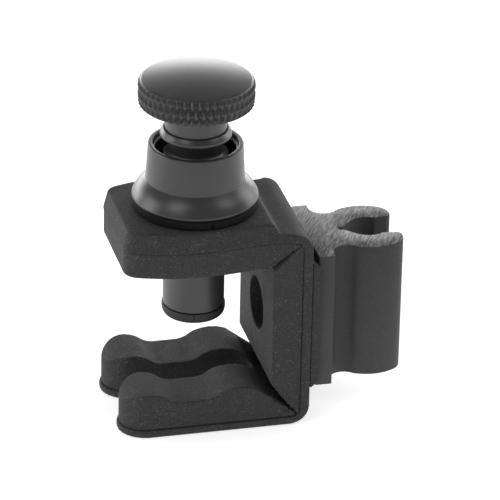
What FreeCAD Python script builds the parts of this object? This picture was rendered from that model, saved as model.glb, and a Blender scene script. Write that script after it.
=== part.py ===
"""A rim clamp: a rubber-jacketed C bracket with a forked lower jaw, a knurled clamping screw in a
threaded collar, and a snap-in rod clip on the back. Millimetres, +Z up. The origin is on the screw's
axis, level with the crests of the fork's pads. +X points to the rod clip, -X out of the open jaw."""

import FreeCAD, Part
import math
import os

import Sketcher

doc = FreeCAD.newDocument("rim_clamp")
sheet = doc.addObject("Spreadsheet::Sheet", "Sheet")

# Driving dimensions. Heights ending in _z are above the crests of the fork's pads, and lengths ending
# in _x are measured from the screw's axis.
DIMENSIONS = {
    # bracket: inner faces of the steel strip, and its jacket
    "arm_inner_z": 24.45,
    "back_inner_x": 15.0,
    "fork_inner_z": -6.1,
    "bend_radius": 1.4,
    "strip_thickness": 0.9,
    "strip_edge_cover": 0.6,
    "arm_skin_z": 25.8,
    "back_skin_x": 16.55,
    "floor_z": -7.35,
    "outer_bend_radius": 3.0,
    "bracket_half_width": 11.0,
    # upper arm
    "arm_front_x": -13.1,
    "arm_corner_radius": 2.8,
    "arm_bulge_x": -1.0,
    "arm_bulge_y": 11.4,
    "arm_bulge_radius": 30.0,
    "arm_flank_radius": 39.0,
    "arm_flank_end_x": 6.4,
    "arm_flank_share": 0.982,
    "arm_neck_radius": 17.1,
    "arm_pad_top_z": 27.52,
    "arm_pad_end_x": 11.4,
    "arm_draft_angle": 14.0,
    "arm_under_z": 20.1,
    # back
    "block_face_x": 10.27,
    "block_corner_z": 0.0,
    "mitre_gap": 0.28,
    "access_hole_radius": 4.3,
    "seat_face_x": 17.8,
    "seat_half_height": 10.1,
    "seat_slope": 0.9,
    # fork
    "fork_tip_x": -13.6,
    "slot_half_width": 2.2,
    "slot_end_x": 7.2,
    "fork_flange": 0.3,
    "pad_valley_z": -1.7,
    "pad_tip_z": -2.2,
    "front_crest_x": -10.0,
    "front_heel_x": -4.4,
    "rear_toe_x": -0.2,
    "rear_crest_x": 4.9,
    "rear_heel_x": 7.9,
    # collar and what it holds
    "collar_rim_z": 38.2,
    "collar_rim_radius": 7.43,
    "collar_foot_radius": 7.75,
    "skirt_top_z": 32.24,
    "skirt_radius": 9.93,
    "skirt_base_z": 29.2,
    "collar_bore_radius": 6.33,
    "spigot_radius": 7.2,
    "spigot_end_z": 21.5,
    "spigot_lip": 0.7,
    "base_ring_radius": 9.85,
    "bush_length": 9.8,
    "snap_ring_wire": 0.8,
    "recess_radius": 9.45,
    "lock_ring_radius": 9.2,
    "lock_ring_thickness": 1.6,
    "lock_washer_thickness": 0.5,
    # clamping screw
    "thread_radius": 5.0,
    "thread_pitch": 1.25,
    "thread_depth": 0.55,
    "thread_start_z": 21.4,
    "thread_end_z": 36.6,
    "undercut_radius": 4.3,
    "shank_radius": 4.85,
    "shank_end_z": 10.65,
    "stop_ring_z": 39.4,
    "stop_ring_radius": 5.6,
    "knob_radius": 9.1,
    "knob_base_z": 44.8,
    "knob_height": 4.1,
    "knob_dome": 0.85,
    "knob_socket_radius": 3.5,
    "foot_radius": 5.03,
    "foot_base_z": 8.65,
    "foot_height": 1.9,
    # rod clip and its screw
    "clip_screw_z": 9.1,
    "clip_centre_z": 9.6,
    "clip_length": 22.6,
    "clip_plate_thickness": 2.6,
    "clip_plate_half_width": 9.3,
    "rod_x": 28.1,
    "rod_radius": 3.2,
    "jaw_radius": 7.45,
    "mouth_half_width": 2.6,
    "screw_radius": 2.0,
    "screw_head_radius": 3.7,
    "screw_head_height": 2.1,
    "screw_length": 9.0,
    "washer_radius": 4.2,
    "washer_thickness": 0.5,
    # clearances
    "running_gap": 0.05,
    "loose_gap": 0.15,
}

for row, (alias, value) in enumerate(DIMENSIONS.items(), start=1):
    sheet.set(f"A{row}", alias)
    sheet.set(f"B{row}", str(value))
    sheet.setAlias(f"B{row}", alias)
doc.recompute()


class Size:
    """A length that carries its spreadsheet expression and its present value together."""

    def __init__(self, text, value):
        self.text = text
        self.value = value

    def __add__(self, other):
        return combine(self, "+", other, self.value + size(other).value)

    def __sub__(self, other):
        return combine(self, "-", other, self.value - size(other).value)

    def __mul__(self, other):
        return combine(self, "*", other, self.value * size(other).value)

    def __truediv__(self, other):
        return combine(self, "/", other, self.value / size(other).value)

    def __neg__(self):
        return Size(f"(0 - {self.text})", -self.value)


def size(value):
    return value if isinstance(value, Size) else Size(f"{value:.6g}", float(value))


def combine(left, sign, right, value):
    return Size(f"({left.text} {sign} {size(right).text})", value)


def dim(alias):
    return Size(f"Sheet.{alias}", DIMENSIONS[alias])


def root(length):
    """Square root of a Size."""
    return Size(f"sqrt({length.text})", math.sqrt(length.value))


def unit(x, y):
    length = root(x * x + y * y)
    return (x / length, y / length)


def between(first, second):
    """The direction half way between two directions."""
    return unit(first[0] + second[0], first[1] + second[1])


def along(start, distance, direction):
    return (start[0] + distance * direction[0], start[1] + distance * direction[1])


def bind(obj, prop, length):
    """Ties a property to the spreadsheet."""
    obj.setExpression(prop, size(length).text)


COS45 = math.sqrt(0.5)
GAP = dim("running_gap")
LOOSE = dim("loose_gap")


# ---- sketches and features ---------------------------------------------------------------------

def origin_plane(body, role):
    return next(item for item in body.Origin.OriginFeatures if item.Role == role)


def vector(point):
    return FreeCAD.Vector(size(point[0]).value, size(point[1]).value, 0)


def pin_point(sketch, geometry, position, point):
    """Dimensions one point of a sketch from its origin, both ways."""
    for kind, length in zip(("DistanceX", "DistanceY"), point):
        length = size(length)
        index = sketch.addConstraint(
            Sketcher.Constraint(kind, -1, 1, geometry, position, length.value))
        if "Sheet" in length.text:
            sketch.setExpression(f"Constraints[{index}]", length.text)


def draw(sketch, path):
    """Draws a closed outline. An item of the path is a point, reached by a line, or a pair of points,
    reached by an arc through the first."""
    ends = []
    start = path[0]
    steps = list(path[1:])
    last = steps[-1][1] if isinstance(steps[-1][0], tuple) else steps[-1]
    if (vector(last) - vector(start)).Length > 1e-6:
        steps.append(start)
    here = start
    for step in steps:
        if isinstance(step[0], tuple):
            middle, there = step
            a, b, c = vector(here), vector(middle), vector(there)
            anticlockwise = (b - a).cross(c - b).z > 0
            arc = Part.Arc(a, b, c) if anticlockwise else Part.Arc(c, b, a)
            geometry = sketch.addGeometry(arc)
            first, second = (1, 2) if anticlockwise else (2, 1)
            helper = sketch.addGeometry(Part.Point(b), True)
            pin_point(sketch, helper, 1, middle)
            sketch.addConstraint(Sketcher.Constraint("PointOnObject", helper, 1, geometry))
        else:
            there = step
            geometry = sketch.addGeometry(Part.LineSegment(vector(here), vector(there)))
            first, second = 1, 2
        ends.append((geometry, first, second, here))
        here = there
    for index, (geometry, first, second, point) in enumerate(ends):
        following = ends[(index + 1) % len(ends)]
        sketch.addConstraint(
            Sketcher.Constraint("Coincident", geometry, second, following[0], following[1]))
        pin_point(sketch, geometry, first, point)


def new_body(name):
    return doc.addObject("PartDesign::Body", name)


def new_sketch(body, role, path, height=None):
    sketch = body.newObject("Sketcher::SketchObject", body.Name + "_outline")
    sketch.AttachmentSupport = (origin_plane(body, role), [""])
    sketch.MapMode = "FlatFace"
    if height is not None:
        bind(sketch, "AttachmentOffset.Base.z", height)
    draw(sketch, path)
    return sketch


def pad_plan(body, path, bottom, top, taper=None):
    """Raises an outline in X and Y from one height to another, its sides leaning in by the taper."""
    pad = body.newObject("PartDesign::Pad", body.Name + "_plate")
    pad.Profile = new_sketch(body, "XY_Plane", path, bottom)
    bind(pad, "Length", top - bottom)
    if taper is not None:
        bind(pad, "TaperAngle", -taper)
    return pad


def pad_side(body, path, half_width):
    """Extrudes an outline in X and Z to both sides of the middle plane."""
    pad = body.newObject("PartDesign::Pad", body.Name + "_strip")
    pad.Profile = new_sketch(body, "XZ_Plane", path)
    pad.Midplane = True
    bind(pad, "Length", half_width * 2)
    return pad


def turned(name, path):
    """A turned piece: an outline of radius and height, revolved about Z."""
    body = new_body(name)
    revolution = body.newObject("PartDesign::Revolution", name + "_turning")
    sketch = new_sketch(body, "XZ_Plane", path)
    revolution.Profile = sketch
    revolution.ReferenceAxis = (sketch, ["V_Axis"])
    revolution.Angle = 360
    return body


def tube(name, inner, outer, bottom, top):
    return turned(name, [(inner, bottom), (outer, bottom), (outer, top), (inner, top)])


def cylinder(name, radius, bottom, top):
    rod = doc.addObject("Part::Cylinder", name)
    bind(rod, "Radius", radius)
    bind(rod, "Height", top - bottom)
    bind(rod, "Placement.Base.z", bottom)
    return rod


def lay_along_x(obj, start_x, height):
    """Turns a piece made along Z so that it runs towards +X from start_x at a height."""
    obj.Placement = FreeCAD.Placement(FreeCAD.Vector(), FreeCAD.Rotation(FreeCAD.Vector(0, 1, 0), 90))
    bind(obj, "Placement.Base.x", start_x)
    bind(obj, "Placement.Base.z", height)
    return obj


def boolean(kind, name, base, tool):
    result = doc.addObject("Part::" + kind, name)
    result.Base = base
    result.Tool = tool
    return result


def rounded(name, base, radius, chosen):
    """Rounds the edges of a solid for which chosen(edge) is true."""
    doc.recompute()
    fillet = doc.addObject("Part::Fillet", name)
    fillet.Base = base
    fillet.Edges = [(number, radius, radius)
                    for number, edge in enumerate(base.Shape.Edges, start=1) if chosen(edge)]
    return fillet


def cut(name, base, *tools):
    """The base less each tool in turn. The last step carries the name."""
    for number, tool in enumerate(tools, start=1):
        label = name if number == len(tools) else f"{name}_step{number}"
        base = boolean("Cut", label, base, tool)
    return base


# ---- bracket outlines --------------------------------------------------------------------------

ARM_END_X = size(14.2)      # the arm's plan ends inside the bend


def band_outline(start_x, top_z, back_x, bottom_z, outer_radius):
    """Side view of the strip's bends and back, from the inner face to a stated outer face."""
    arm, back, fork = dim("arm_inner_z"), dim("back_inner_x"), dim("fork_inner_z")
    bend = dim("bend_radius")
    inner_reach = bend * (1 - COS45)
    outer_reach = outer_radius * (1 - COS45)
    return [
        (start_x, arm),
        (back - bend, arm),
        ((back - inner_reach, arm - inner_reach), (back, arm - bend)),
        (back, fork + bend),
        ((back - inner_reach, fork + inner_reach), (back - bend, fork)),
        (start_x, fork),
        (start_x, bottom_z),
        (back_x - outer_radius, bottom_z),
        ((back_x - outer_reach, bottom_z + outer_reach), (back_x, bottom_z + outer_radius)),
        (back_x, top_z - outer_radius),
        ((back_x - outer_reach, top_z - outer_reach), (back_x - outer_radius, top_z)),
        (start_x, top_z),
    ]


def arm_outline(inset, end_x=None):
    """Plan of the upper arm, in arcs that run smoothly into each other: a straight front, a corner, a
    bulge round the screw, a long flank, a hollow neck, and a straight run on to end_x."""
    corner, bulge = dim("arm_corner_radius"), dim("arm_bulge_radius")
    flank, neck = dim("arm_flank_radius"), dim("arm_neck_radius")
    bulge_at = (dim("arm_bulge_x"), dim("arm_bulge_y") - bulge)
    flank_at = (dim("arm_bulge_x"), dim("arm_bulge_y") - flank)
    corner_x = dim("arm_front_x") + corner
    step_x = corner_x - bulge_at[0]
    corner_at = (corner_x, bulge_at[1] + root((bulge - corner) * (bulge - corner) - step_x * step_x))
    leftward, outward = (size(-1), size(0)), (size(0), size(1))
    to_corner = unit(step_x, corner_at[1] - bulge_at[1])
    to_neck = unit(dim("arm_flank_end_x") - flank_at[0], flank * dim("arm_flank_share"))
    neck_at = along(flank_at, flank + neck, to_neck)
    run = ARM_END_X - neck_at[0]
    neck_end = (ARM_END_X, neck_at[1] - root((neck + inset) * (neck + inset) - run * run))
    from_neck = unit(neck_at[0] - ARM_END_X, neck_at[1] - neck_end[1])
    half = [
        (dim("arm_front_x") + inset, corner_at[1]),
        (along(corner_at, corner - inset, between(leftward, to_corner)),
         along(corner_at, corner - inset, to_corner)),
        (along(bulge_at, bulge - inset, between(to_corner, outward)),
         along(bulge_at, bulge - inset, outward)),
        (along(flank_at, flank - inset, between(outward, to_neck)),
         along(flank_at, flank - inset, to_neck)),
        (along(neck_at, -(neck + inset), between(to_neck, from_neck)), neck_end),
    ]
    if end_x is not None:
        half.append((end_x, neck_end[1]))
    return mirrored_outline(half)


def mirrored_outline(half):
    """Closes a half outline, given from front to back on the +Y side, with its mirror image."""
    def flip(point):
        return (point[0], -size(point[1]))

    points = [half[0]] + [step[1] if isinstance(step[0], tuple) else step for step in half[1:]]
    back = [flip(points[-1])]
    for index in range(len(half) - 1, 0, -1):
        step = half[index]
        there = flip(points[index - 1])
        back.append((flip(step[0]), there) if isinstance(step[0], tuple) else there)
    return half + back


def fork_outline(inset, end_x):
    """Plan of the fork: two prongs with round tips either side of a slot with a round end."""
    outer = dim("bracket_half_width") - inset
    inner = dim("slot_half_width") + inset
    middle = (outer + inner) / 2
    tip = dim("fork_tip_x") + inset
    tip_start = tip + (outer - inner) / 2
    slot_end = dim("slot_end_x")
    return [
        (end_x, -outer),
        (tip_start, -outer),
        ((tip, -middle), (tip_start, -inner)),
        (slot_end, -inner),
        ((slot_end + inner, size(0)), (slot_end, inner)),
        (tip_start, inner),
        ((tip, middle), (tip_start, outer)),
        (end_x, outer),
    ]


# ---- bracket pieces ----------------------------------------------------------------------------

JOIN_X = size(13.4)     # where the arm and the fork plates overlap the bent band
WIDE = size(14)         # half width of a slab that reaches past both flanks
OPEN_X = size(-16)      # a plane in front of the jaw
SEAT_BOTTOM = dim("clip_centre_z") - dim("seat_half_height")
SEAT_TOP = dim("clip_centre_z") + dim("seat_half_height")


def bent_sheet(name, inset, top_z, back_x, bottom_z, outer_radius, arm_top, taper=None):
    """A C of arm plate, bent band and fork plate in one body."""
    body = new_body(name)
    pad_side(body, band_outline(JOIN_X, top_z, back_x, bottom_z, outer_radius),
             dim("bracket_half_width") - inset)
    pad_plan(body, arm_outline(inset), dim("arm_inner_z"), arm_top, taper)
    pad_plan(body, fork_outline(inset, JOIN_X + 0.4), bottom_z, dim("fork_inner_z"))
    return body


def collar_hole(owner):
    """The hole through the upper arm for the collar's spigot."""
    spigot_end, above_arm = dim("spigot_end_z"), dim("arm_pad_top_z") + 1
    return cylinder(f"{owner}_collar_hole", dim("spigot_radius") + GAP, spigot_end, above_arm)


def screw_hole(owner):
    """The hole through the back for the clip's screw."""
    hole = cylinder(f"{owner}_screw_hole", dim("screw_radius") + LOOSE, size(0), size(10))
    return lay_along_x(hole, dim("block_face_x"), dim("clip_screw_z"))


def make_core_strip():
    thickness = dim("strip_thickness")
    cover = dim("strip_edge_cover")
    top = dim("arm_inner_z") + thickness
    blank = bent_sheet("core_blank", cover, top, dim("back_inner_x") + thickness,
                       dim("fork_inner_z") - thickness, dim("bend_radius") + thickness, top)
    return cut("core_strip", blank, collar_hole("core"), screw_hole("core"))


def make_outer_cover(core):
    skin, pad = dim("arm_skin_z"), dim("arm_pad_top_z")
    blank = bent_sheet("cover_blank", size(0), skin, dim("back_skin_x"), dim("floor_z"),
                       dim("outer_bend_radius"), pad, dim("arm_draft_angle"))
    ramp_foot = dim("arm_pad_end_x")
    ramp = new_body("arm_ramp")
    pad_side(ramp, [
        (ramp_foot, skin),
        (ARM_END_X + 1, skin),
        (ARM_END_X + 1, pad + 1),
        (ramp_foot - 1.1, pad + 1),
        (ramp_foot - 1.1, pad),
    ], WIDE)
    blank = cut("cover_sharp", blank, ramp)
    blank = rounded("cover_soft", blank, 0.4, lambda edge: cover_rim(edge, pad.value))
    return cut("outer_cover", blank, core, collar_hole("cover"), screw_hole("cover"))


def cover_rim(edge, pad_top):
    """The cover's outer edges: round the arm's pad, along both bends and the back, under the fork."""
    box = edge.BoundBox
    half_width = DIMENSIONS["bracket_half_width"]
    on_pad = box.ZMin > pad_top - 0.01 and box.XMax < DIMENSIONS["arm_pad_end_x"] - 0.9
    on_side = min(abs(box.YMin), abs(box.YMax)) > half_width - 0.01 and box.YLength < 0.01
    outside = box.XMax > DIMENSIONS["back_skin_x"] - 0.01 or box.ZMin > DIMENSIONS["arm_skin_z"] - 0.01
    return on_pad or (on_side and outside and box.XMin > 13)


def mitre_corner(fold_z, sense):
    """The fold's far corner, on the strip's inner bend, half way round it."""
    reach = dim("bend_radius") * (1 - COS45)
    return (dim("back_inner_x") - reach, fold_z - reach * sense)


def bend_quarter(fold_z, sense, share):
    """A point on the inner bend, share of the quarter circle away from the arm or fork."""
    angle = math.radians(90 * share)
    bend = dim("bend_radius")
    return (dim("back_inner_x") - bend * (1 - math.sin(angle)), fold_z - bend * sense * (1 - math.cos(angle)))


def make_upper_block():
    """The rubber under the upper arm, recessed for the lock ring and open round the screw."""
    arm, under = dim("arm_inner_z"), dim("arm_under_z")
    sides = new_body("upper_block_sides")
    pad_side(sides, [
        (OPEN_X, under),
        (dim("block_face_x") - dim("mitre_gap"), under),
        mitre_corner(arm, 1),
        (bend_quarter(arm, 1, 0.25), bend_quarter(arm, 1, 0)),
        (OPEN_X, arm),
    ], WIDE)
    plan = new_body("upper_block_plan")
    pad_plan(plan, arm_outline(dim("fork_flange") / 2, size(15.2)), under - 1, arm + 1)
    block = boolean("Common", "upper_block_sharp", plan, sides)
    block = rounded("upper_block_soft", block, 0.5, lambda edge: (
        edge.BoundBox.ZMax < under.value + 0.01 and edge.BoundBox.XMin < dim("block_face_x").value - 0.5))
    recess = cylinder("lock_recess", dim("recess_radius"), dim("spigot_end_z") - 0.1, arm + 1)
    passage = cylinder("screw_passage", dim("foot_radius") + GAP, under - 1, arm)
    return cut("upper_block", block, recess, passage)


def make_back_block():
    """The rubber inside the back, with the hole that reaches the clip's screw."""
    arm, fork = dim("arm_inner_z"), dim("fork_inner_z")
    face = dim("block_face_x")
    body = new_body("back_block_blank")
    pad_side(body, [
        (face, dim("arm_under_z") - dim("mitre_gap")),
        (face, dim("block_corner_z")),
        mitre_corner(fork, -1),
        (bend_quarter(fork, -1, 0.75), bend_quarter(fork, -1, 1)),
        bend_quarter(arm, 1, 1),
        (bend_quarter(arm, 1, 0.75), mitre_corner(arm, 1)),
    ], dim("bracket_half_width") - 0.15)
    access = cylinder("screw_access", dim("access_hole_radius"), size(0), size(10))
    lay_along_x(access, face - 1, dim("clip_screw_z"))
    return cut("back_block", body, access)


def make_lower_block():
    """The fork's rubber: two bumps along each prong, a flat between, and a slope into the corner."""
    fork, valley, crest = dim("fork_inner_z"), dim("pad_valley_z"), size(0)
    front, rear = dim("front_crest_x"), dim("rear_crest_x")
    front_heel, rear_toe = dim("front_heel_x"), dim("rear_toe_x")
    sides = new_body("lower_block_sides")
    pad_side(sides, [
        (OPEN_X, fork),
        (OPEN_X, dim("pad_tip_z")),
        (dim("fork_tip_x"), dim("pad_tip_z")),
        ((front, crest), (front_heel - 2.1, crest - 0.75)),
        ((front_heel - 1.3, valley + 0.4), (front_heel, valley)),
        (rear_toe, valley),
        ((rear_toe + 1.3, valley + 0.35), (rear_toe + 2.3, valley + 1.0)),
        ((rear, crest), (dim("rear_heel_x"), crest - 0.55)),
        mitre_corner(fork, -1),
        (bend_quarter(fork, -1, 0.25), bend_quarter(fork, -1, 0)),
    ], WIDE)
    plan = new_body("lower_block_plan")
    pad_plan(plan, fork_outline(dim("fork_flange"), size(16)), fork, crest + 1)
    return boolean("Common", "lower_block", plan, sides)


def make_clip_seat():
    """The raised pad on the outside of the back, with sloping ends, that the clip bears on."""
    skin, face, slope = dim("back_skin_x"), dim("seat_face_x"), dim("seat_slope")
    body = new_body("clip_seat_blank")
    pad_side(body, [
        (skin, SEAT_BOTTOM - slope),
        (face, SEAT_BOTTOM),
        (face, SEAT_TOP),
        (skin, SEAT_TOP + slope),
    ], dim("bracket_half_width") - 0.3)
    return cut("clip_seat", body, screw_hole("seat"))


# ---- collar and its fixings --------------------------------------------------------------------

def make_collar():
    """The threaded collar's housing: a rolled rim, a swelling skirt and a spigot through the arm."""
    bore, rim_z, rim = dim("collar_bore_radius"), dim("collar_rim_z"), dim("collar_rim_radius")
    skirt, base, spigot = dim("skirt_radius"), dim("skirt_base_z"), dim("spigot_radius")
    end = dim("spigot_end_z")
    seat = end + dim("spigot_lip")
    groove_floor = seat + dim("bush_length")
    groove_top = groove_floor + dim("snap_ring_wire") + GAP
    return turned("collar", [
        (bore - 1.0, end),
        (spigot, end),
        (spigot, base),
        (skirt, base),
        (skirt, base + 0.25),
        ((dim("collar_foot_radius") + 1.3, dim("skirt_top_z") - 1.15),
         (dim("collar_foot_radius"), dim("skirt_top_z"))),
        (rim, rim_z - 0.55),
        ((rim - 0.16, rim_z - 0.16), (rim - 0.5, rim_z)),
        (bore + 0.38, rim_z - 0.08),
        (bore + 0.22, rim_z - 0.85),
        (bore, rim_z - 0.95),
        (bore, groove_top),
        (bore + 0.3, groove_top),
        (bore + 0.3, groove_floor),
        (bore, groove_floor),
        (bore, seat),
        (bore - 1.0, seat),
    ])


def make_base_ring():
    """The ring between skirt and arm, with a small notch in its lower edge."""
    radius = dim("base_ring_radius")
    bottom, top = dim("arm_pad_top_z"), dim("skirt_base_z")
    blank = turned("base_ring_blank", [
        (dim("spigot_radius") + GAP, bottom),
        (radius - 0.1, bottom),
        (radius, bottom + 0.2),
        (radius, top - 0.45),
        (radius - 0.25, top - 0.2),
        (radius - 0.25, top),
        (dim("spigot_radius") + GAP, top),
    ])
    notch = doc.addObject("Part::Box", "base_ring_notch")
    bind(notch, "Length", 1.2)
    bind(notch, "Width", 1.0)
    bind(notch, "Height", 0.55)
    bind(notch, "Placement.Base.x", 1.4)
    bind(notch, "Placement.Base.y", -radius - 0.25)
    bind(notch, "Placement.Base.z", bottom - 0.05)
    return cut("base_ring", blank, notch)


def make_thread_bush():
    bottom = dim("spigot_end_z") + dim("spigot_lip")
    top = bottom + dim("bush_length")
    outer = dim("collar_bore_radius") - 0.03
    inner = dim("thread_radius") + GAP
    return turned("thread_bush", [
        (inner, bottom + 0.4), (inner + 0.4, bottom), (outer, bottom), (outer, top),
        (inner + 0.4, top), (inner, top - 0.4),
    ])


def make_snap_ring():
    """The split ring over the bush, in the groove of the collar's bore."""
    bottom = dim("spigot_end_z") + dim("spigot_lip") + dim("bush_length")
    bore = dim("collar_bore_radius")
    ring = tube("snap_ring_blank", bore - 0.5, bore + 0.27, bottom, bottom + dim("snap_ring_wire"))
    split = doc.addObject("Part::Box", "snap_ring_split")
    bind(split, "Length", 4)
    bind(split, "Width", 1.6)
    bind(split, "Height", 4)
    bind(split, "Placement.Base.x", bore - 2)
    bind(split, "Placement.Base.y", -0.8)
    bind(split, "Placement.Base.z", bottom - 1)
    return cut("snap_ring", ring, split)


def make_lock_ring():
    """The round nut on the spigot, with four spanner notches."""
    top = dim("arm_inner_z") - dim("lock_washer_thickness")
    bottom = top - dim("lock_ring_thickness")
    radius = dim("lock_ring_radius")
    ring = tube("lock_ring_blank", dim("spigot_radius") + 0.02, radius, bottom, top)
    notches = []
    for number, angle in enumerate((0, 90, 180, 270)):
        notch = doc.addObject("Part::Box", f"lock_ring_notch{number}")
        bind(notch, "Length", 2)
        bind(notch, "Width", 2)
        bind(notch, "Height", 3)
        turn = FreeCAD.Rotation(FreeCAD.Vector(0, 0, 1), angle)
        reach = radius.value - 0.9
        notch.Placement = FreeCAD.Placement(
            turn.multVec(FreeCAD.Vector(reach, -1, bottom.value - 0.5)), turn)
        notches.append(notch)
    return cut("lock_ring", ring, *notches)


def make_lock_washer():
    top = dim("arm_inner_z")
    return tube("lock_washer", dim("spigot_radius") + GAP, dim("lock_ring_radius"),
                top - dim("lock_washer_thickness"), top)


# ---- clamping screw ----------------------------------------------------------------------------

def make_spindle():
    """The clamping screw: a stub in the knob, a plain neck, the thread, a plain end and a bead that
    the foot cap snaps over. The thread is a row of V grooves at its pitch."""
    shank, thread, end = dim("shank_radius"), dim("thread_radius"), dim("shank_end_z")
    start, stop, seat = dim("thread_start_z"), dim("thread_end_z"), dim("stop_ring_z")
    undercut = dim("undercut_radius")
    stub = dim("knob_socket_radius") - 0.02
    knob = dim("knob_base_z")
    body = turned("spindle", [
        (size(0), end - 1.15),
        (size(2.55), end - 1.15),
        (size(2.6), end - 1.1),
        (size(2.6), end - 0.7),
        (size(2.1), end - 0.4),
        (size(2.1), end),
        (shank - 0.3, end),
        (shank, end + 0.3),
        (shank, start),
        (thread, start + 0.1),
        (thread, stop - 0.1),
        (shank, stop),
        (undercut, stop + 0.4),
        (undercut, seat - 0.1),
        (shank, seat),
        (shank, knob),
        (stub, knob),
        (stub, knob + 2.7),
        (size(0), knob + 2.7),
    ])
    pitch, depth = dim("thread_pitch"), dim("thread_depth")
    first = start + 0.6
    groove = body.newObject("PartDesign::Groove", "spindle_thread")
    outline = new_sketch(body, "XZ_Plane", [
        (thread - depth, first),
        (thread + 0.1, first - pitch * 0.4),
        (thread + 0.1, first + pitch * 0.4),
    ])
    groove.Profile = outline
    groove.ReferenceAxis = (outline, ["V_Axis"])
    groove.Angle = 360
    doc.recompute()
    turns = math.floor((stop.value - start.value - 1.4) / pitch.value)
    row = body.newObject("PartDesign::LinearPattern", "spindle_thread_row")
    row.Originals = [groove]
    row.Direction = (outline, ["V_Axis"])
    bind(row, "Length", pitch * turns)
    row.Occurrences = turns + 1
    body.Tip = row
    return body


def make_stop_ring():
    """The ring pressed on the neck, with a sloping upper face."""
    bottom, outer, inner = dim("stop_ring_z"), dim("stop_ring_radius"), dim("shank_radius")
    return turned("stop_ring", [
        (inner, bottom), (outer - 0.15, bottom), (outer, bottom + 0.15), (outer, bottom + 0.6),
        ((outer - 0.1, bottom + 1.05), (outer - 0.35, bottom + 1.4)),
        (inner + 0.1, bottom + 1.4), (inner, bottom + 1.2),
    ])


def make_knob():
    """The knob at the crests of its knurling: a shallow dome, two bevels and a blind socket."""
    base, height, radius = dim("knob_base_z"), dim("knob_height"), dim("knob_radius")
    socket = dim("knob_socket_radius")
    rim = radius - 0.55
    dome = dim("knob_dome")
    apex = base + height + dome
    sphere = (rim * rim + dome * dome) / (dome * 2)
    half_way = rim / 2
    half_way_z = apex - sphere + root(sphere * sphere - half_way * half_way)
    return turned("knob", [
        (socket, base),
        (radius - 0.45, base),
        (radius, base + 0.4),
        (radius, base + height - 0.45),
        (rim, base + height),
        ((half_way, half_way_z), (size(0), apex)),
        (size(0), base + 2.75),
        (socket, base + 2.75),
    ])


def make_foot_cap():
    """The moulded foot that snaps over the spindle's bead and stays still as the screw turns."""
    base, height, radius = dim("foot_base_z"), dim("foot_height"), dim("foot_radius")
    top = base + height
    return turned("foot_cap", [
        (size(0), base),
        (radius - 1.1, base),
        ((radius - 0.35, base + 0.3), (radius, base + 1.0)),
        (radius, top - 0.15),
        (radius - 0.15, top),
        (size(2.2), top),
        (size(2.2), top - 0.25),
        (size(2.7), top - 0.6),
        (size(2.7), base + 0.75),
        (size(0), base + 0.75),
    ])


# ---- rod clip ----------------------------------------------------------------------------------

def make_rod_clip():
    """The clip's section, drawn in plan: a plate, a waist, and two jaws round the rod with a relief
    slit behind it. It has one length from end to end."""
    plate = dim("seat_face_x") + GAP
    back = plate + dim("clip_plate_thickness")
    edge, rod, jaw = dim("clip_plate_half_width"), dim("rod_x"), dim("jaw_radius")
    bore, mouth = dim("rod_radius"), dim("mouth_half_width")
    half_length = dim("clip_length") / 2
    centre = dim("clip_centre_z")
    mouth_x = rod + math.sqrt(bore.value ** 2 - mouth.value ** 2)
    flank_x, flank_y = rod - bore * 0.72, bore * 0.694
    half = [
        (plate, size(0)),                                                       # plate
        (plate, edge),
        (back, edge),
        (back + 0.1, edge - 1.6),
        ((back + 1.9, size(5.85)), (rod - 3.45, size(6.6))),                    # waist
        ((rod + 0.3, jaw), (rod + 3.6, size(6.3))),                             # outside of the jaw
        ((rod + 4.35, size(5.4)), (rod + 4.65, size(4.0))),                     # lip
        ((rod + 4.3, mouth + 0.45), (rod + 3.6, mouth + 0.25)),
        (mouth_x, mouth),                                                       # mouth
        ((rod, bore), (flank_x, flank_y)),                                      # the rod's seat
        (rod - 3.7, size(0.75)),
        (rod - 3.9, size(0.5)),                                                 # relief slit
        (rod - 4.6, size(0.4)),
        (rod - 4.9, size(0)),
    ]
    body = new_body("rod_clip_blank")
    outline = clip_outline(half)
    pad_plan(body, outline, centre - half_length, centre + half_length)
    tapped = cylinder("clip_tapped_hole", dim("screw_radius") + 0.02, size(0), dim("screw_length") + 0.6)
    lay_along_x(tapped, plate - 4, dim("clip_screw_z"))
    return cut("rod_clip", body, tapped)


def clip_outline(half):
    """Closes the clip's half section with its mirror image about X."""
    whole = mirrored_outline(half)
    # the two middle points lie on the X axis, so their images would repeat them
    return [step for index, step in enumerate(whole) if index != len(half)][:-1]


def make_clip_screw():
    """A pan-head screw with a cross recess, driven from inside the bracket into the clip."""
    head, height = dim("screw_head_radius"), dim("screw_head_height")
    shank = dim("screw_radius")
    blank = turned("clip_screw_blank", [
        (size(0), size(0)),
        (head * 0.55, size(0.1)),
        ((head * 0.9, height * 0.38), (head, height)),
        (shank, height),
        (shank, height + dim("screw_length") - 0.6),
        (shank - 0.6, height + dim("screw_length")),
        (size(0), height + dim("screw_length")),
    ])
    bars = []
    for name, length, width in (("recess_bar", 3.6, 0.8), ("recess_cross", 0.8, 3.6)):
        bar = doc.addObject("Part::Box", name)
        bind(bar, "Length", length)
        bind(bar, "Width", width)
        bind(bar, "Height", 2)
        bind(bar, "Placement.Base.x", -length / 2)
        bind(bar, "Placement.Base.y", -width / 2)
        bind(bar, "Placement.Base.z", -0.8)
        bars.append(bar)
    screw = cut("clip_screw", blank, *bars)
    washers = dim("washer_thickness") * 2 + GAP
    return lay_along_x(screw, dim("back_inner_x") - washers - height, dim("clip_screw_z"))


def make_clip_washer():
    washer = tube("clip_washer", dim("screw_radius") + LOOSE, dim("washer_radius"),
                  size(0), dim("washer_thickness"))
    return lay_along_x(washer, dim("back_inner_x") - dim("washer_thickness"), dim("clip_screw_z"))


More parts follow.
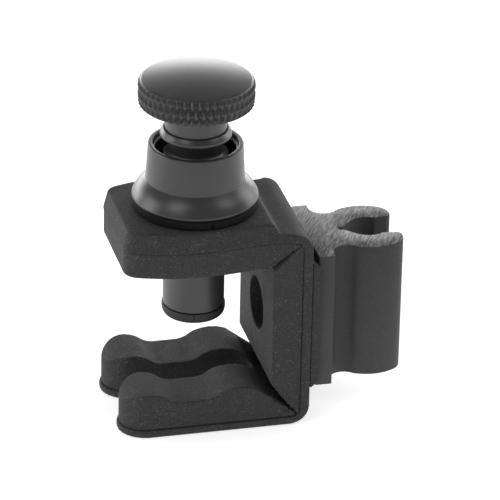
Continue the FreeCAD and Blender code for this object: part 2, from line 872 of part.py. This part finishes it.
def make_spring_washer():
    """A split spring washer between the plain washer and the screw's head."""
    thickness = dim("washer_thickness")
    ring = tube("spring_washer_blank", dim("screw_radius") + LOOSE, dim("washer_radius") - 0.8,
                size(0), thickness)
    split = doc.addObject("Part::Box", "spring_washer_split")
    bind(split, "Length", 3)
    bind(split, "Width", 0.5)
    bind(split, "Height", 3)
    bind(split, "Placement.Base.x", 1)
    bind(split, "Placement.Base.y", -0.25)
    bind(split, "Placement.Base.z", -1)
    washer = cut("spring_washer", ring, split)
    return lay_along_x(washer, dim("back_inner_x") - thickness * 2, dim("clip_screw_z"))


# ---- assembly ----------------------------------------------------------------------------------

core_strip = make_core_strip()
nodes = [
    core_strip,
    make_outer_cover(core_strip),
    make_upper_block(),
    make_back_block(),
    make_lower_block(),
    make_clip_seat(),
    make_collar(),
    make_base_ring(),
    make_thread_bush(),
    make_snap_ring(),
    make_lock_washer(),
    make_lock_ring(),
    make_spindle(),
    make_stop_ring(),
    make_knob(),
    make_foot_cap(),
    make_rod_clip(),
    make_clip_screw(),
    make_clip_washer(),
    make_spring_washer(),
]
doc.recompute()

for obj in doc.Objects:
    if "Invalid" in obj.State or "Error" in obj.State:
        raise RuntimeError(f"{obj.Name} failed: {obj.State}")

os.makedirs("parts", exist_ok=True)
for node in nodes:
    shape = node.Shape
    if shape.isNull() or not shape.isValid() or shape.Volume <= 0:
        raise RuntimeError(f"{node.Name} has no valid shape")
    node.Label = node.Name
    shape.exportStep(f"parts/{node.Label}.step")
    box = shape.BoundBox
    print(f"{node.Label:14s} {len(shape.Solids)} solid {shape.Volume:9.2f} mm3",
          f"x {box.XMin:.2f}..{box.XMax:.2f} y {box.YMin:.2f}..{box.YMax:.2f}",
          f"z {box.ZMin:.2f}..{box.ZMax:.2f}")
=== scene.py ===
"""A rubber-jacketed rim clamp with a knurled screw and a rod clip, on a pale studio floor.
Lengths in this file are millimetres in the CAD's frame, turned into metres where a mesh is made."""

import math

import bmesh
import bpy
import numpy as np
from mathutils import Matrix, Vector, noise


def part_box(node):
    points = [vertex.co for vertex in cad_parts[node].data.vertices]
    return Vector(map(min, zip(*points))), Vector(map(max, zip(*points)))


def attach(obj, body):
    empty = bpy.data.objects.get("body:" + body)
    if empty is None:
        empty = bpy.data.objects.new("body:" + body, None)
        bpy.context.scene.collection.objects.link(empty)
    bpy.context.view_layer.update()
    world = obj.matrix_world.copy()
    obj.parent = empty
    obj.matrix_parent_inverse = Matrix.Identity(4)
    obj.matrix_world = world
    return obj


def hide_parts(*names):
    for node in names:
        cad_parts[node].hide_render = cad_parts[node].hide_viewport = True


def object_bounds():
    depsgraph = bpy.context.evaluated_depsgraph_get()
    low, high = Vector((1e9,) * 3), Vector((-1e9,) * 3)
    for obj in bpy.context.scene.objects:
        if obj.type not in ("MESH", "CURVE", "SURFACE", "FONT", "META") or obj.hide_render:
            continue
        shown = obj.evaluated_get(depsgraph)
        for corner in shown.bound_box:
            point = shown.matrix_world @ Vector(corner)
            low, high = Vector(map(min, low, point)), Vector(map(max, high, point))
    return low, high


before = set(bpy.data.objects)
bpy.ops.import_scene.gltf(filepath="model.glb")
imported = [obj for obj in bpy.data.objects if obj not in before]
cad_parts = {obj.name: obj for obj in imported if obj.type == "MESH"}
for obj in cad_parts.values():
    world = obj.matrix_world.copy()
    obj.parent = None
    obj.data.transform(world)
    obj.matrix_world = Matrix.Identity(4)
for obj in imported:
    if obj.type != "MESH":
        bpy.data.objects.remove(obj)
cad_low, cad_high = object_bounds()

MM = 0.001
CAMERA_AZIMUTH = -14.31
CAMERA_ELEVATION = 26.58
CAMERA_ROLL = 1.28
CAMERA_LENS = 302.4
CAMERA_DISTANCE = 663.5
CAMERA_AIM = (9.71, 2.62, 17.17)


def extent(name):
    """Lowest z, highest z and largest reach in Y of a CAD node, in millimetres."""
    low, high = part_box(name)
    return low.z / MM, high.z / MM, high.y / MM


# ---- meshes ------------------------------------------------------------------------------------

def add_piece(name, mesh, body, replaced, look):
    piece = bpy.data.objects.new(name, mesh)
    bpy.context.scene.collection.objects.link(piece)
    piece.data.materials.clear()
    piece.data.materials.append(look)
    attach(piece, body)
    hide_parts(replaced)


def smooth_shaded(mesh, sharp_degrees):
    mesh.polygons.foreach_set("use_smooth", [True] * len(mesh.polygons))
    if sharp_degrees is not None:
        mesh.set_sharp_from_angle(angle=math.radians(sharp_degrees))
    mesh.update()


def outward(mesh):
    """Turns all faces outwards."""
    work = bmesh.new()
    work.from_mesh(mesh)
    bmesh.ops.recalc_face_normals(work, faces=work.faces)
    work.to_mesh(mesh)
    work.free()


def softened_profile(points, steps=5):
    """Rounds the corners of a profile. Each point is (radius, z) or (radius, z, size of its fillet)."""
    made = []
    for index, point in enumerate(points):
        here = np.array(point[:2], float)
        fillet = point[2] if len(point) > 2 else 0.0
        if not fillet or index in (0, len(points) - 1):
            made.append(here)
            continue
        before = np.array(points[index - 1][:2], float) - here
        after = np.array(points[index + 1][:2], float) - here
        reach = min(fillet, 0.48 * np.linalg.norm(before), 0.48 * np.linalg.norm(after))
        start = here + before / np.linalg.norm(before) * reach
        end = here + after / np.linalg.norm(after) * reach
        for share in np.linspace(0, 1, steps):
            made.append((1 - share) ** 2 * start + 2 * share * (1 - share) * here + share ** 2 * end)
    return made


def lathe(name, profile, segments=192, first_angle=0.0, closed=False, shape=None, sharp=40):
    """Turns a profile of (radius, z) about Z. shape(angles, radius, z) may change a ring's radii."""
    angles = math.radians(first_angle) + np.arange(segments) * 2 * math.pi / segments
    points, rings = [], []
    for radius, z in profile:
        if radius < 1e-6:
            rings.append([len(points)])
            points.append((0.0, 0.0, z))
            continue
        radii = np.full(segments, radius) if shape is None else shape(angles, radius, z)
        rings.append(list(range(len(points), len(points) + segments)))
        points.extend(zip(radii * np.cos(angles), radii * np.sin(angles), np.full(segments, z)))
    faces = []
    pairs = list(zip(rings, rings[1:])) + ([(rings[-1], rings[0])] if closed else [])
    for lower, upper in pairs:
        for index in range(segments):
            after = (index + 1) % segments
            if len(lower) == 1 and len(upper) > 1:
                faces.append((lower[0], upper[after], upper[index]))
            elif len(upper) == 1 and len(lower) > 1:
                faces.append((lower[index], lower[after], upper[0]))
            elif len(lower) > 1:
                faces.append((lower[index], lower[after], upper[after], upper[index]))
    mesh = bpy.data.meshes.new(name)
    mesh.from_pydata([Vector(p) * MM for p in points], [], faces)
    outward(mesh)
    smooth_shaded(mesh, sharp)
    return mesh


def copied(node_name):
    """A CAD node's mesh in millimetres, joined up at its seams."""
    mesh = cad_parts[node_name].data.copy()
    mesh.transform(Matrix.Scale(1 / MM, 4))
    work = bmesh.new()
    work.from_mesh(mesh)
    bmesh.ops.remove_doubles(work, verts=work.verts, dist=0.001)
    work.to_mesh(mesh)
    work.free()
    return mesh


def evaluated(mesh, modifiers):
    """The mesh after a list of (type, settings) modifiers."""
    helper = bpy.data.objects.new("helper", mesh)
    bpy.context.scene.collection.objects.link(helper)
    for kind, settings in modifiers:
        modifier = helper.modifiers.new(kind, kind)
        for key, value in settings.items():
            setattr(modifier, key, value)
    graph = bpy.context.evaluated_depsgraph_get()
    made = bpy.data.meshes.new_from_object(helper.evaluated_get(graph))
    bpy.data.objects.remove(helper)
    return made


def moved_points(mesh, change):
    """Replaces a mesh's points by change(points), both as arrays."""
    points = np.zeros(len(mesh.vertices) * 3, np.float32)
    mesh.vertices.foreach_get("co", points)
    points = change(points.reshape(-1, 3).astype(float))
    mesh.vertices.foreach_set("co", points.astype(np.float32).ravel())
    mesh.update()


def moulded(node_name, voxel=0.15, rounds=3, keep=0.3, change=None):
    """A rubber moulding: the CAD solid with its edges worn round, as an even skin of small faces."""
    mesh = evaluated(copied(node_name), [
        ("REMESH", {"mode": "VOXEL", "voxel_size": voxel, "use_smooth_shade": True}),
        ("SMOOTH", {"factor": 0.5, "iterations": rounds}),
    ])
    if change is not None:
        moved_points(mesh, change)
    mesh = evaluated(mesh, [("DECIMATE", {"ratio": keep})])
    mesh.transform(Matrix.Scale(MM, 4))
    mesh.name = node_name + "_moulded"
    smooth_shaded(mesh, None)
    return mesh


def bevelled(node_name, width, segments=2, sharper_than=35):
    """A hard piece: the CAD solid with its sharp edges broken."""
    mesh = copied(node_name)
    work = bmesh.new()
    work.from_mesh(mesh)
    bmesh.ops.dissolve_limit(work, angle_limit=math.radians(0.5), verts=work.verts, edges=work.edges)
    work.to_mesh(mesh)
    work.free()
    mesh = evaluated(mesh, [("BEVEL", {
        "width": width, "segments": segments, "limit_method": "ANGLE",
        "angle_limit": math.radians(sharper_than), "use_clamp_overlap": True})])
    mesh.transform(Matrix.Scale(MM, 4))
    mesh.name = node_name + "_edged"
    smooth_shaded(mesh, 30)
    return mesh


def rumple(points, where, size, height):
    """Moves points by a lump pattern of a size and height, as far as where(points) allows, from 0 to 1."""
    share = where(points)
    for index in np.nonzero(share > 0.01)[0]:
        at = Vector(points[index] / size)
        push = Vector((noise.noise(at), noise.noise(at + Vector((9, 4, 7))), noise.noise(at * 2.3)))
        points[index] += np.array(push) * height * share[index]
    return points


# ---- materials ---------------------------------------------------------------------------------

def node(tree, kind, inputs=None, **settings):
    made = tree.nodes.new("ShaderNode" + kind)
    for key, value in settings.items():
        setattr(made, key, value)
    for key, value in (inputs or {}).items():
        if isinstance(value, bpy.types.NodeSocket):
            tree.links.new(value, made.inputs[key])
        else:
            made.inputs[key].default_value = value
    return made


def noise_of(tree, coords, grain_mm, detail=2.0, stretch=None):
    """Noise with features of about grain_mm, stretched by a factor along each axis."""
    vector = coords
    if stretch is not None:
        vector = node(tree, "Mapping", {"Vector": coords, "Scale": stretch}).outputs["Vector"]
    inputs = {"Vector": vector, "Scale": 1 / (grain_mm * MM), "Detail": detail}
    return node(tree, "TexNoise", inputs).outputs["Fac"]


def ranged(tree, value, low, high, to_low, to_high):
    inputs = {"Value": value, "From Min": low, "From Max": high, "To Min": to_low, "To Max": to_high}
    return node(tree, "MapRange", inputs).outputs["Result"]


def mixed(tree, factor, first, second):
    made = node(tree, "Mix", data_type="RGBA")
    for index, value in ((0, factor), (6, first), (7, second)):
        if isinstance(value, bpy.types.NodeSocket):
            tree.links.new(value, made.inputs[index])
        else:
            made.inputs[index].default_value = value
    return made.outputs[2]


def multiplied(tree, first, second):
    return node(tree, "Math", {0: first, 1: second}, operation="MULTIPLY").outputs[0]


def bumped(tree, height, depth_mm, strength=1.0, below=None):
    inputs = {"Height": height, "Distance": depth_mm * MM, "Strength": strength}
    if below is not None:
        inputs["Normal"] = below
    return node(tree, "Bump", inputs).outputs["Normal"]


def grey(value, warm=0.0):
    return (value * (1 + warm), value, value * (1 - warm), 1.0)


def new_look(name, **uniform):
    look = bpy.data.materials.new(name)
    look.use_nodes = True
    tree = look.node_tree
    shader = tree.nodes["Principled BSDF"]
    for key, value in uniform.items():
        shader.inputs[key.replace("_", " ")].default_value = value
    coords = node(tree, "TexCoord").outputs["Object"]
    return look, tree, shader, coords


def finish_look(tree, shader, colour, rough, normal):
    tree.links.new(colour, shader.inputs["Base Color"])
    tree.links.new(rough, shader.inputs["Roughness"])
    tree.links.new(normal, shader.inputs["Normal"])


def rubber_look(name, tone=0.042, specks=1.0, rough=0.8, sheen=0.35):
    """Matte moulded rubber: fine grain, cloudy tone and pale specks."""
    look, tree, shader, coords = new_look(name, IOR=1.45, Specular_IOR_Level=sheen)
    cloud = noise_of(tree, coords, 3.5, 4)
    grain = noise_of(tree, coords, 0.3, 4)
    colour = mixed(tree, ranged(tree, cloud, 0.3, 0.7, 0, 1), grey(tone * 0.86), grey(tone * 1.12))
    mottle = ranged(tree, noise_of(tree, coords, 0.34, 2), 0.35, 0.65, 0, 0.6)
    colour = mixed(tree, mottle, colour, grey(tone * 0.45))
    speck = ranged(tree, noise_of(tree, coords, 0.28, 2), 0.58, 0.72, 0, 0.7 * specks)
    patchy = ranged(tree, noise_of(tree, coords, 2.2, 2), 0.4, 0.62, 0.25, 1)
    colour = mixed(tree, multiplied(tree, speck, patchy), colour, grey(tone * 3.6, 0.02))
    roughness = ranged(tree, cloud, 0.3, 0.7, rough - 0.07, rough + 0.06)
    normal = bumped(tree, grain, 0.14, 1.0)
    normal = bumped(tree, noise_of(tree, coords, 0.7, 3), 0.04, 0.6, normal)
    finish_look(tree, shader, colour, roughness, normal)
    return look


def metal_look(name, tone, rough, metallic=0.0, ior=1.6, grain_mm=0.1, depth=0.003, rings=0.0, warm=0.0):
    """Satin metal, bare or black anodised: fine blasted grain, and faint turning marks along Z."""
    look, tree, shader, coords = new_look(name, Metallic=metallic, IOR=ior)
    cloud = noise_of(tree, coords, 4.0, 3)
    grain = noise_of(tree, coords, grain_mm, 2)
    colour = mixed(tree, ranged(tree, cloud, 0.3, 0.7, 0, 1),
                   grey(tone * 0.88, warm), grey(tone * 1.12, warm))
    edge = ranged(tree, node(tree, "NewGeometry").outputs["Pointiness"], 0.54, 0.66, 0, 0.3)
    colour = mixed(tree, edge, colour, grey(min(tone * 3, 0.8), warm))
    roughness = ranged(tree, grain, 0.25, 0.75, rough - 0.05, rough + 0.05)
    normal = bumped(tree, grain, depth, 0.7)
    if rings:
        marks = noise_of(tree, coords, 0.12, 2, (0.02, 0.02, 1.0))
        normal = bumped(tree, marks, rings, 0.8, normal)
    finish_look(tree, shader, colour, roughness, normal)
    return look


SAW_ANGLE = -60.0


def clip_look():
    """Matte black plastic. Its ends are paler and show a saw's diagonal strokes."""
    look, tree, shader, coords = new_look("clip_plastic_sawn", IOR=1.45)
    facing = node(tree, "SeparateXYZ", {0: node(tree, "TexCoord").outputs["Normal"]}).outputs["Z"]
    end = node(tree, "Math", {0: facing}, operation="ABSOLUTE").outputs[0]
    end = ranged(tree, end, 0.75, 0.95, 0, 1)
    turned = node(tree, "Mapping", {"Vector": coords, "Rotation": (0, 0, math.radians(SAW_ANGLE))})
    strokes = noise_of(tree, turned.outputs["Vector"], 0.22, 3, (0.14, 1.0, 0.1))
    strokes_fine = noise_of(tree, turned.outputs["Vector"], 0.12, 2, (0.08, 1.0, 0.1))
    grain = noise_of(tree, coords, 0.16, 3)
    side = mixed(tree, ranged(tree, grain, 0.3, 0.7, 0, 1), grey(0.026), grey(0.042))
    speck = ranged(tree, noise_of(tree, coords, 0.13, 0), 0.75, 0.82, 0, 0.4)
    side = mixed(tree, speck, side, grey(0.15))
    sawn = mixed(tree, ranged(tree, strokes, 0.38, 0.62, 0, 1), grey(0.05), grey(0.3))
    sawn = mixed(tree, ranged(tree, strokes_fine, 0.4, 0.6, 0, 0.6), sawn, grey(0.06))
    edge = ranged(tree, node(tree, "NewGeometry").outputs["Pointiness"], 0.55, 0.68, 0, 0.35)
    colour = mixed(tree, edge, mixed(tree, end, side, sawn), grey(0.2))
    roughness = ranged(tree, end, 0, 1, 0.62, 0.55)
    normal = bumped(tree, grain, 0.018, 0.7)
    normal = bumped(tree, multiplied(tree, strokes, end), 0.05, 0.9, normal)
    finish_look(tree, shader, colour, roughness, normal)
    return look


jacket_look = rubber_look("jacket_rubber_grained")
ring_look = rubber_look("ring_rubber_smooth", tone=0.006, specks=0.2, rough=0.75, sheen=0.2)
foot_look = rubber_look("foot_plastic_moulded", tone=0.024, specks=0.3, rough=0.55, sheen=0.5)
anodised_look = metal_look("black_anodised_satin", 0.02, 0.33, rings=0.002)
spindle_look = metal_look("black_anodised_turned", 0.03, 0.4, rings=0.004)
steel_look = metal_look("strip_steel_rolled", 0.5, 0.38, metallic=1.0)
spring_look = metal_look("spring_steel_oiled", 0.28, 0.32, metallic=1.0)
brass_look = metal_look("bush_brass_turned", 0.5, 0.3, metallic=1.0, rings=0.004, warm=0.28)
oxide_look = metal_look("black_steel_oxide", 0.12, 0.4, metallic=0.6)

for node_name, look in (("core_strip", steel_look), ("thread_bush", brass_look), ("snap_ring", spring_look),
                        ("lock_washer", oxide_look), ("lock_ring", oxide_look), ("clip_screw", oxide_look),
                        ("clip_washer", oxide_look), ("spring_washer", spring_look)):
    cad_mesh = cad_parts[node_name].data
    cad_mesh.materials.clear()
    cad_mesh.materials.append(look)


# ---- knob --------------------------------------------------------------------------------------

KNURL_TEETH = 47
KNURL_ROW = 1.55        # from one row of diamonds to the next
KNURL_DEPTH = 0.46
KNURL_CREST = 0.8       # share of a tooth's height at which its tip is cut flat
COLUMNS_PER_TOOTH = 12
KNOB_DOME = 0.85


def make_knob():
    base, apex, radius = extent("knob")
    dome = KNOB_DOME
    shoulder = apex - dome
    rim = radius - 0.55

    def knurled(angles, bound, z):
        """Radii round the band at a height: crossed helical grooves, no further out than bound."""
        turn = angles * KNURL_TEETH / (2 * math.pi)
        climb = (z - base) / (2 * KNURL_ROW)
        heights = [np.abs((turn + sign * climb) % 1.0 - 0.5) * 2 for sign in (1, -1)]
        tooth = np.minimum(np.minimum(*heights) / KNURL_CREST, 1.0)
        return np.minimum(radius - KNURL_DEPTH * (1 - tooth), bound)

    def bevel(z):
        return min(radius, radius - 0.45 + (z - base) * 1.1, rim + (shoulder - z) * 1.2)

    sphere = (rim * rim + dome * dome) / (2 * dome)
    neck_hole, hole_end = 3.5, base + 2.75
    profile = [(0.0, hole_end), (neck_hole, hole_end), (neck_hole, base), (radius - 0.6, base)]
    profile += [(bevel(z), z) for z in np.linspace(base, shoulder, 60)]
    for share in (0.985, 0.96, 0.9, 0.8, 0.65, 0.5, 0.35, 0.2, 0.1, 0.04):
        profile.append((rim * share, apex - sphere + math.sqrt(sphere ** 2 - (rim * share) ** 2)))
    profile.append((0.0, apex))

    def shape(angles, bound, z):
        return knurled(angles, bound, z) if bound > rim - 0.01 else np.full(len(angles), bound)

    mesh = lathe("knob_knurled", profile, KNURL_TEETH * COLUMNS_PER_TOOTH, shape=shape, sharp=32)
    add_piece("knob_knurled", mesh, "screw", "knob", anodised_look)


# ---- collar, ring and screw --------------------------------------------------------------------

def make_collar():
    end, rim_z, skirt = extent("collar")
    rim, bore, spigot = skirt - 2.5, skirt - 3.6, skirt - 2.73
    base = rim_z - 9.0
    foot, foot_z = skirt - 2.18, rim_z - 5.96
    profile = [
        (bore - 1.0, end), (spigot, end, 0.2), (spigot, base - 0.01),
        (skirt - 0.12, base, 0.08), (skirt, base + 0.14, 0.1), (skirt - 0.05, base + 0.42, 0.1),
    ]
    for share in np.linspace(0.12, 1.0, 9):
        swell = 0.2 * math.sin(math.pi * share)
        profile.append((skirt - 0.05 + (foot - skirt + 0.05) * share + swell,
                        base + 0.42 + (foot_z - base - 0.42) * share + swell * 0.7))
    profile += [
        (rim, rim_z - 0.02, 0.5), (rim - 0.45, rim_z, 0.3), (bore + 0.42, rim_z - 0.02, 0.16),
        (bore + 0.24, rim_z - 0.85, 0.1), (bore, rim_z - 0.95, 0.08), (bore, end + 0.7),
        (bore - 1.0, end + 0.7),
    ]
    mesh = lathe("collar_turned", softened_profile(profile), 192, closed=True, sharp=22)
    add_piece("collar_turned", mesh, "bracket", "collar", anodised_look)


def make_base_ring():
    bottom, top, radius = extent("base_ring")
    inner = 7.3
    profile = [
        (inner, bottom), (radius - 0.1, bottom, 0.1), (radius, bottom + 0.2, 0.1),
        (radius, top - 0.42, 0.12), (radius - 0.25, top - 0.2, 0.1), (radius - 0.25, top), (inner, top),
    ]
    notch_angle, notch_half_width = math.atan2(-radius, 0.6), math.radians(1.3)
    notch_depth = 0.4

    def shape(angles, ring_radius, z):
        near = np.abs((angles - notch_angle + math.pi) % (2 * math.pi) - math.pi) < notch_half_width
        deep = near & (ring_radius > radius - notch_depth) & (z < bottom + 0.4)
        return np.where(deep, ring_radius - notch_depth, ring_radius)

    mesh = lathe("base_ring_notched", softened_profile(profile), 288, closed=True, shape=shape)
    add_piece("base_ring_notched", mesh, "bracket", "base_ring", ring_look)


def make_stop_ring():
    bottom, top, radius = extent("stop_ring")
    inner = 4.86
    profile = [
        (inner, bottom), (radius - 0.12, bottom, 0.12), (radius, bottom + 0.2, 0.12),
        (radius, bottom + 0.62, 0.35), (radius - 0.48, top - 0.02, 0.12), (inner + 0.05, top - 0.1, 0.08),
        (inner, top - 0.3),
    ]
    mesh = lathe("stop_ring_turned", softened_profile(profile), 160, closed=True)
    add_piece("stop_ring_turned", mesh, "screw", "stop_ring", anodised_look)


THREAD_PITCH = 1.25
THREAD_DEPTH = 0.55
THREAD_START, THREAD_END = 21.4, 36.6


def make_spindle():
    low, high, crest = extent("spindle")
    shank, undercut = crest - 0.15, crest - 0.7
    tip_groove, neck = 2.1, 3.48
    plain_end = low + 1.15
    knob_base = extent("knob")[0]
    seat = extent("stop_ring")[0]

    def shape(angles, radius, z):
        """Cuts a right-hand V groove into the threaded length, running out at its ends."""
        if not THREAD_START < z < THREAD_END:
            return np.full(len(angles), radius)
        phase = (z / THREAD_PITCH - angles / (2 * math.pi)) % 1.0
        groove = np.clip(1.15 - np.abs(phase - 0.5) * 2 * 1.3, 0, 1)
        run_out = min(1.0, (z - THREAD_START) / 0.9, (THREAD_END - z) / 0.9)
        return radius - THREAD_DEPTH * groove * run_out

    profile = [
        (0.0, low), (2.55, low, 0.1), (2.6, low + 0.45, 0.1), (tip_groove, plain_end - 0.4, 0.1),
        (tip_groove, plain_end),
        (shank - 0.02, plain_end, 0.08), (shank, plain_end + 0.1), (shank, THREAD_START - 0.2),
    ]
    profile = softened_profile(profile)
    profile += [(crest, z) for z in np.arange(THREAD_START, THREAD_END, 0.1)]
    profile += softened_profile([
        (shank, THREAD_END), (undercut, THREAD_END + 0.5, 0.3), (undercut, seat - 0.3, 0.3),
        (shank, seat), (shank, knob_base), (neck, knob_base), (neck, high), (0.0, high),
    ])
    mesh = lathe("spindle_threaded", profile, 120, shape=shape)
    add_piece("spindle_threaded", mesh, "screw", "spindle", spindle_look)


FOOT_SEAM_ANGLE = -101.5    # the mould's seam in degrees; there is another opposite


def make_foot_cap():
    base, top, radius = extent("foot_cap")
    mouth, cavity = 2.2, 2.7
    seam = math.radians(FOOT_SEAM_ANGLE)
    seam_half_width = math.radians(1.2)
    profile = [
        (0.0, base + 0.02), (1.6, base + 0.02, 0.2), (1.8, base, 0.2), (radius - 1.0, base, 0.5),
        (radius - 0.3, base + 0.28, 0.4), (radius, base + 1.0, 0.5), (radius, top - 0.06, 0.06),
        (radius - 0.08, top, 0.05), (mouth, top), (mouth, top - 0.25), (cavity, top - 0.6),
        (cavity, base + 0.75), (0.0, base + 0.75),
    ]

    def shape(angles, ring_radius, z):
        if ring_radius < cavity + 0.05:
            return np.full(len(angles), ring_radius)
        apart = np.abs((angles - seam + math.pi / 2) % math.pi - math.pi / 2)
        return ring_radius - 0.13 * np.clip(1 - apart / seam_half_width, 0, 1)

    mesh = lathe("foot_cap_moulded", softened_profile(profile), 360,
                 first_angle=FOOT_SEAM_ANGLE, shape=shape)
    add_piece("foot_cap_moulded", mesh, "foot", "foot_cap", foot_look)


# ---- jacket and clip ---------------------------------------------------------------------------

FOLD_START_X = 8.6
FOLD_FLOOR_Z = -6.05
FOLD_HALF_WIDTH = 1.9


def in_fold(points):
    """From 0 to 1 inside the fold between the fork's rubber and the back's."""
    x, z = points[:, 0], points[:, 2]
    depth = np.clip((x - FOLD_START_X) / 1.5, 0, 1) * np.clip(-z, 0, 1)
    away_from_floor = np.clip((z - FOLD_FLOOR_Z) / 0.8, 0, 1)
    return depth * away_from_floor * (np.abs(z + (x - 9.6) * 1.15) < FOLD_HALF_WIDTH)


JACKET_PIECES = {"outer_cover": "cover", "upper_block": "arm_pad", "back_block": "back_pad",
                 "lower_block": "fork_pad", "clip_seat": "clip_pad"}
COVER_WEAR = 16     # rounds of smoothing: the cover's edges are worn rounder than the blocks'
BLOCK_WEAR = 4


def make_jacket():
    changes = {
        "lower_block": lambda points: rumple(points, in_fold, 0.55, 0.3),
        "back_block": lambda points: rumple(points, in_fold, 0.5, 0.2),
    }
    for node_name, piece_name in JACKET_PIECES.items():
        rounds = COVER_WEAR if node_name == "outer_cover" else BLOCK_WEAR
        mesh = moulded(node_name, rounds=rounds, change=changes.get(node_name))
        add_piece(piece_name + "_moulded", mesh, "bracket", node_name, jacket_look)


def make_clip():
    mesh = bevelled("rod_clip", 0.12)
    add_piece("rod_clip_sawn", mesh, "clip", "rod_clip", clip_look())


make_knob()
make_collar()
make_base_ring()
make_stop_ring()
make_spindle()
make_foot_cap()
make_jacket()
make_clip()


# ---- floor, light and camera -------------------------------------------------------------------

def stage_mesh(name, points, faces, look):
    mesh = bpy.data.meshes.new(name)
    mesh.from_pydata([Vector(p) * MM for p in points], [], faces)
    thing = bpy.data.objects.new(name, mesh)
    bpy.context.scene.collection.objects.link(thing)
    mesh.materials.append(look)
    return thing


def pale_look(name, tone, glow):
    """White paper, faintly uneven, with enough light of its own to stay white."""
    look, tree, shader, coords = new_look(name)
    cloud = noise_of(tree, coords, 60, 2)
    tree.links.new(mixed(tree, cloud, grey(tone), grey(tone * 0.98)), shader.inputs["Base Color"])
    shader.inputs["Roughness"].default_value = 0.9
    shader.inputs["Specular IOR Level"].default_value = 0.1
    shader.inputs["Emission Color"].default_value = (1, 1, 1, 1)
    shader.inputs["Emission Strength"].default_value = glow
    return look


FLOOR_HALF = 2500
WALL_RADIUS = 2400
floor_z = cad_low.z / MM - 0.02
stage_mesh("floor", [(-FLOOR_HALF, -FLOOR_HALF, floor_z), (FLOOR_HALF, -FLOOR_HALF, floor_z),
                     (FLOOR_HALF, FLOOR_HALF, floor_z), (-FLOOR_HALF, FLOOR_HALF, floor_z)],
           [(0, 1, 2, 3)], pale_look("floor_paper", 0.9, 0.55))

# a tall white wall far off all round, seen by the camera only
WALL_SIDES = 96
ring = [(WALL_RADIUS * math.cos(turn), WALL_RADIUS * math.sin(turn))
        for turn in (index * 2 * math.pi / WALL_SIDES for index in range(WALL_SIDES))]
wall = stage_mesh("wall", [(x, y, z) for z in (floor_z - 5, WALL_RADIUS) for x, y in ring],
                  [(i, (i + 1) % WALL_SIDES, (i + 1) % WALL_SIDES + WALL_SIDES, i + WALL_SIDES)
                   for i in range(WALL_SIDES)], pale_look("wall_paper", 0.2, 1.0))
wall.visible_diffuse = wall.visible_glossy = wall.visible_shadow = False


def softbox(name, place, size, brightness, aim=(2, 0, 20)):
    """A rectangular light of even brightness, facing the clamp."""
    light = bpy.data.lights.new(name, "AREA")
    light.shape = "RECTANGLE"
    light.size, light.size_y = size[0] * MM, size[1] * MM
    light.energy = brightness * math.pi * light.size * light.size_y
    lamp = bpy.data.objects.new(name, light)
    bpy.context.scene.collection.objects.link(lamp)
    lamp.location = Vector(place) * MM
    lamp.visible_camera = False
    lamp.rotation_euler = (Vector(place) - Vector(aim)).to_track_quat("Z", "Y").to_euler()


softbox("light_left", (-480, 120, 160), (260, 320), 3.0)
softbox("light_right", (480, 160, 180), (260, 320), 3.0)
softbox("light_front_left", (-330, -240, 450), (260, 320), 2.2)
softbox("light_front_right", (380, -200, 430), (240, 300), 1.9)
softbox("light_back", (0, 620, 100), (1300, 250), 5.0)

world = bpy.data.worlds.new("studio")
world.use_nodes = True
world.node_tree.nodes["Background"].inputs["Color"].default_value = (1, 1, 1, 1)
world.node_tree.nodes["Background"].inputs["Strength"].default_value = 0.35
bpy.context.scene.world = world
bpy.context.scene.view_settings.view_transform = "Standard"

azimuth, elevation, roll = (math.radians(a) for a in (CAMERA_AZIMUTH, CAMERA_ELEVATION, CAMERA_ROLL))
level = Vector((math.cos(azimuth), math.sin(azimuth), 0))
toward = Vector((math.sin(azimuth) * math.cos(elevation), -math.cos(azimuth) * math.cos(elevation),
                 math.sin(elevation)))
upright = toward.cross(level)
right = level * math.cos(roll) + upright * math.sin(roll)
up = toward.cross(right)
camera = bpy.data.objects.new("camera", bpy.data.cameras.new("camera"))
bpy.context.scene.collection.objects.link(camera)
camera.data.lens = CAMERA_LENS
camera.data.clip_start, camera.data.clip_end = 0.01, 20
turn = Matrix((right, up, toward)).transposed()
camera.matrix_world = (Matrix.Translation((Vector(CAMERA_AIM) + toward * CAMERA_DISTANCE) * MM)
                       @ turn.to_4x4())
bpy.context.scene.camera = camera
